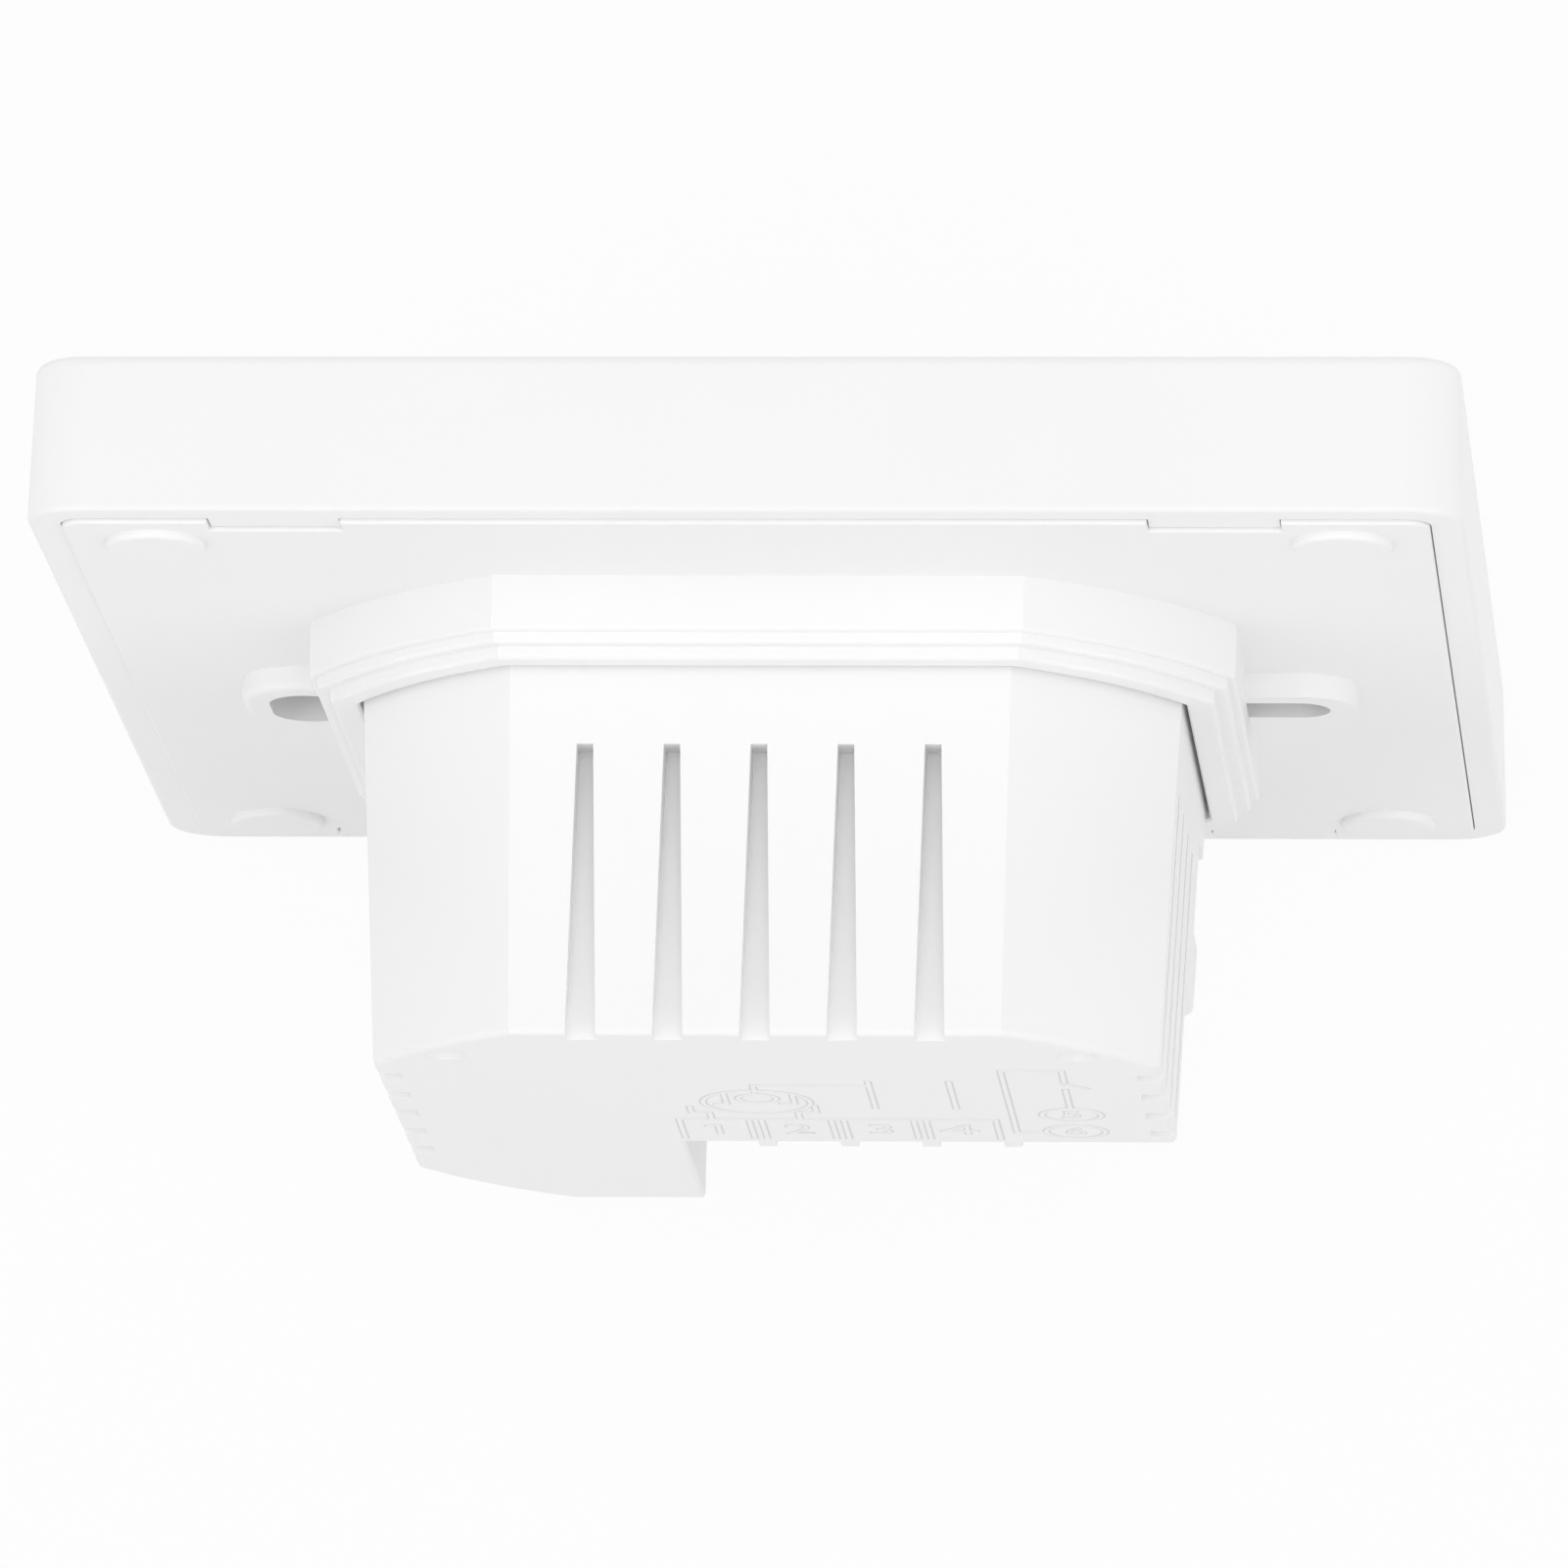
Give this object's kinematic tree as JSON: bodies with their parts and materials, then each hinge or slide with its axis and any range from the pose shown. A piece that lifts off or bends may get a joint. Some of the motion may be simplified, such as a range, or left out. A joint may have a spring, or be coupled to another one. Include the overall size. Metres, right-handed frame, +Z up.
{
  "type": "room thermostat",
  "caption": "Square wall-mounted touch room thermostat: front unit clips to a mounting plate with a drafted rear housing for a wall box and screw terminals.",
  "frame": {"origin": "midway between the two wall screw slots, in the plane of the front shell's rear rim", "axes": "+X right as seen from the room, +Y into the wall, +Z up"},
  "size_m": [0.086, 0.0374, 0.086],
  "materials": {
    "white_shell": "fine satin moulding",
    "white_plate": "fine satin moulding",
    "white_housing": "fine satin moulding",
    "white_inner": "plain moulding",
    "touch_panel": "polished",
    "lcd_glass": "polished",
    "diffuser": "frosted",
    "elastomer": "striped",
    "foam": "conductive foam",
    "circuit_board": "solder mask",
    "module_board": "solder mask",
    "tinned_steel": "tinned",
    "screw_steel": "zinc plated",
    "black_epoxy": "moulded epoxy",
    "black_nylon": "moulded",
    "gold_pins": "plated",
    "tinned_brass": "tinned",
    "relay_case": "moulded",
    "ferrite": "sintered",
    "winding_tape": "polyester tape",
    "capacitor_sleeve": "shrink sleeve",
    "film_capacitor": "moulded box",
    "varistor_coat": "dipped",
    "fuse_case": "moulded",
    "terminal_plastic": "moulded",
    "terminal_steel": "nickel plated"
  },
  "bodies": {
    "wall_unit": {"mounting_plate": "white_plate", "rear_housing": "white_housing", "housing_screws": "screw_steel", "power_board": "circuit_board", "power_board_screws": "screw_steel", "board_socket": "black_nylon", "valve_relay": "relay_case", "contact_relay": "relay_case", "transformer_core": "ferrite", "transformer_bobbin": "winding_tape", "smoothing_capacitors": "capacitor_sleeve", "mains_capacitor": "film_capacitor", "varistor": "varistor_coat", "fuse": "fuse_case", "converter_chips": "black_epoxy", "terminal_block": "terminal_plastic", "contact_terminal_block": "terminal_plastic", "contact_bars": "tinned_brass"},
    "front_unit": {"front_shell": "white_shell", "touch_panel": "touch_panel", "lcd_glass": "lcd_glass", "light_guide": "diffuser", "lcd_frame": "white_inner", "zebra_strip_top": "elastomer", "zebra_strip_bottom": "elastomer", "key_pads": "foam", "display_board": "circuit_board", "display_board_screws": "screw_steel", "wifi_board": "module_board", "wifi_shield": "tinned_steel", "controller_chip": "black_epoxy", "room_sensor": "black_epoxy", "header_base": "black_nylon", "header_pins": "gold_pins"},
    "screw_1": {"terminal_screw_1": "terminal_steel"},
    "cage_1": {"clamp_cage_1": "terminal_steel"},
    "screw_2": {"terminal_screw_2": "terminal_steel"},
    "cage_2": {"clamp_cage_2": "terminal_steel"},
    "screw_3": {"terminal_screw_3": "terminal_steel"},
    "cage_3": {"clamp_cage_3": "terminal_steel"},
    "screw_4": {"terminal_screw_4": "terminal_steel"},
    "cage_4": {"clamp_cage_4": "terminal_steel"},
    "screw_5": {"terminal_screw_5": "terminal_steel"},
    "cage_5": {"clamp_cage_5": "terminal_steel"},
    "screw_6": {"terminal_screw_6": "terminal_steel"},
    "cage_6": {"clamp_cage_6": "terminal_steel"}
  },
  "joints": [
    {"name": "front_pull", "type": "slide", "parent": "wall_unit", "child": "front_unit", "axis": [0, -1, 0], "range_m": [0, 0.03]},
    {"name": "cage_1_rise", "type": "slide", "parent": "wall_unit", "child": "cage_1", "axis": [0, 1, 0], "range_m": [0, 0.0019]},
    {"name": "terminal_1_turn", "type": "hinge", "parent": "wall_unit", "child": "screw_1", "pos_m": [0.00407, 0.0162, -0.01853], "axis": [0, -1, 0], "range_deg": [0, 1373]},
    {"name": "cage_2_rise", "type": "slide", "parent": "wall_unit", "child": "cage_2", "axis": [0, 1, 0], "range_m": [0, 0.0019]},
    {"name": "terminal_2_turn", "type": "hinge", "parent": "wall_unit", "child": "screw_2", "pos_m": [-0.00101, 0.0162, -0.01853], "axis": [0, -1, 0], "range_deg": [0, 1373]},
    {"name": "cage_3_rise", "type": "slide", "parent": "wall_unit", "child": "cage_3", "axis": [0, 1, 0], "range_m": [0, 0.0019]},
    {"name": "terminal_3_turn", "type": "hinge", "parent": "wall_unit", "child": "screw_3", "pos_m": [-0.00609, 0.0162, -0.01853], "axis": [0, -1, 0], "range_deg": [0, 1373]},
    {"name": "cage_4_rise", "type": "slide", "parent": "wall_unit", "child": "cage_4", "axis": [0, 1, 0], "range_m": [0, 0.0019]},
    {"name": "terminal_4_turn", "type": "hinge", "parent": "wall_unit", "child": "screw_4", "pos_m": [-0.01117, 0.0162, -0.01853], "axis": [0, -1, 0], "range_deg": [0, 1373]},
    {"name": "cage_5_rise", "type": "slide", "parent": "wall_unit", "child": "cage_5", "axis": [0, 1, 0], "range_m": [0, 0.0019]},
    {"name": "terminal_5_turn", "type": "hinge", "parent": "wall_unit", "child": "screw_5", "pos_m": [-0.01631, 0.0162, -0.01274], "axis": [0, -1, 0], "range_deg": [0, 1715]},
    {"name": "cage_6_rise", "type": "slide", "parent": "wall_unit", "child": "cage_6", "axis": [0, 1, 0], "range_m": [0, 0.0019]},
    {"name": "terminal_6_turn", "type": "hinge", "parent": "wall_unit", "child": "screw_6", "pos_m": [-0.02012, 0.0162, -0.01274], "axis": [0, -1, 0], "range_deg": [0, 1715]}
  ],
  "couplings": [
    {"joint": "terminal_1_turn", "follows": "cage_1_rise", "rad_per_m": 12566},
    {"joint": "terminal_2_turn", "follows": "cage_2_rise", "rad_per_m": 12566},
    {"joint": "terminal_3_turn", "follows": "cage_3_rise", "rad_per_m": 12566},
    {"joint": "terminal_4_turn", "follows": "cage_4_rise", "rad_per_m": 12566},
    {"joint": "terminal_5_turn", "follows": "cage_5_rise", "rad_per_m": 15708},
    {"joint": "terminal_6_turn", "follows": "cage_6_rise", "rad_per_m": 15708}
  ]
}
